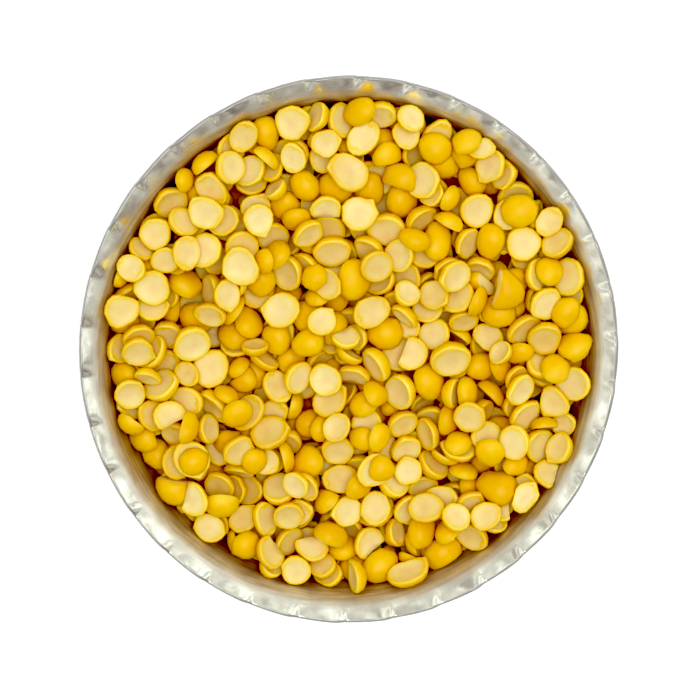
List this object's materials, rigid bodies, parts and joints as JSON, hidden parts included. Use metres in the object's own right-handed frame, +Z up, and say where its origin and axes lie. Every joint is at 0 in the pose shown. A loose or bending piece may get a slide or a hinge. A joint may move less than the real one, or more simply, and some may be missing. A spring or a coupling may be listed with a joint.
{
  "type": "dish of chana dal",
  "caption": "Small round metal bowl with a flared, scalloped lip, filled almost to the lip with dry split chickpeas, for use as a table or shelf item.",
  "frame": {"origin": "on the table, under the middle of the bowl's flat base", "axes": "+Z up out of the bowl, +X to the right and +Y to the top of the picture, which looks down into the bowl"},
  "size_m": [0.0998, 0.1022, 0.0455],
  "materials": {
    "bowl_metal": "bright pressed sheet metal",
    "dal": "dry and smooth, slightly waxy"
  },
  "bodies": {
    "root": {"bowl": "bowl_metal", "dal_heap": "dal"}
  },
  "joints": []
}
